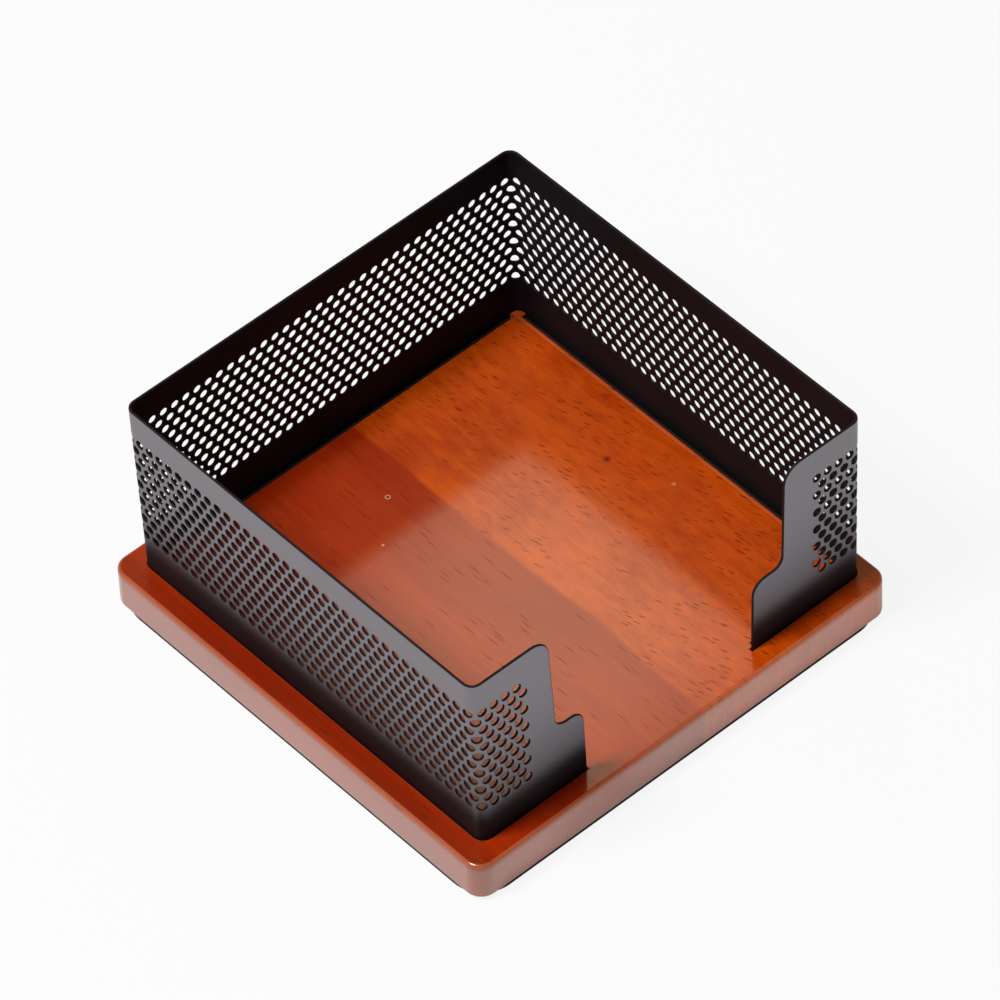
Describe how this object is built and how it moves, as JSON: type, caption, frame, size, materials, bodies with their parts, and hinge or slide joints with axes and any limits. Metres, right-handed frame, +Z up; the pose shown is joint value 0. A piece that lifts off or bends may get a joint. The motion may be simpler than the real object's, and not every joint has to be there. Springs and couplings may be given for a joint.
{
  "type": "open memo pad holder",
  "caption": "Open-fronted tray for loose note sheets: a bent perforated steel wall let into a lacquered wooden board.",
  "frame": {"origin": "middle of the board's outline, at the underside of the pad that the holder stands on", "axes": "+Z up, the open side of the wall faces -Y, +X is to the right for someone who looks in from the open side"},
  "size_m": [0.114, 0.114, 0.0582],
  "materials": {
    "lacquered_wood": "gloss",
    "black_steel": "satin",
    "black_pad": "matt"
  },
  "bodies": {
    "root": {"base_board": "lacquered_wood", "perforated_wall": "black_steel", "base_pad": "black_pad"}
  },
  "joints": []
}
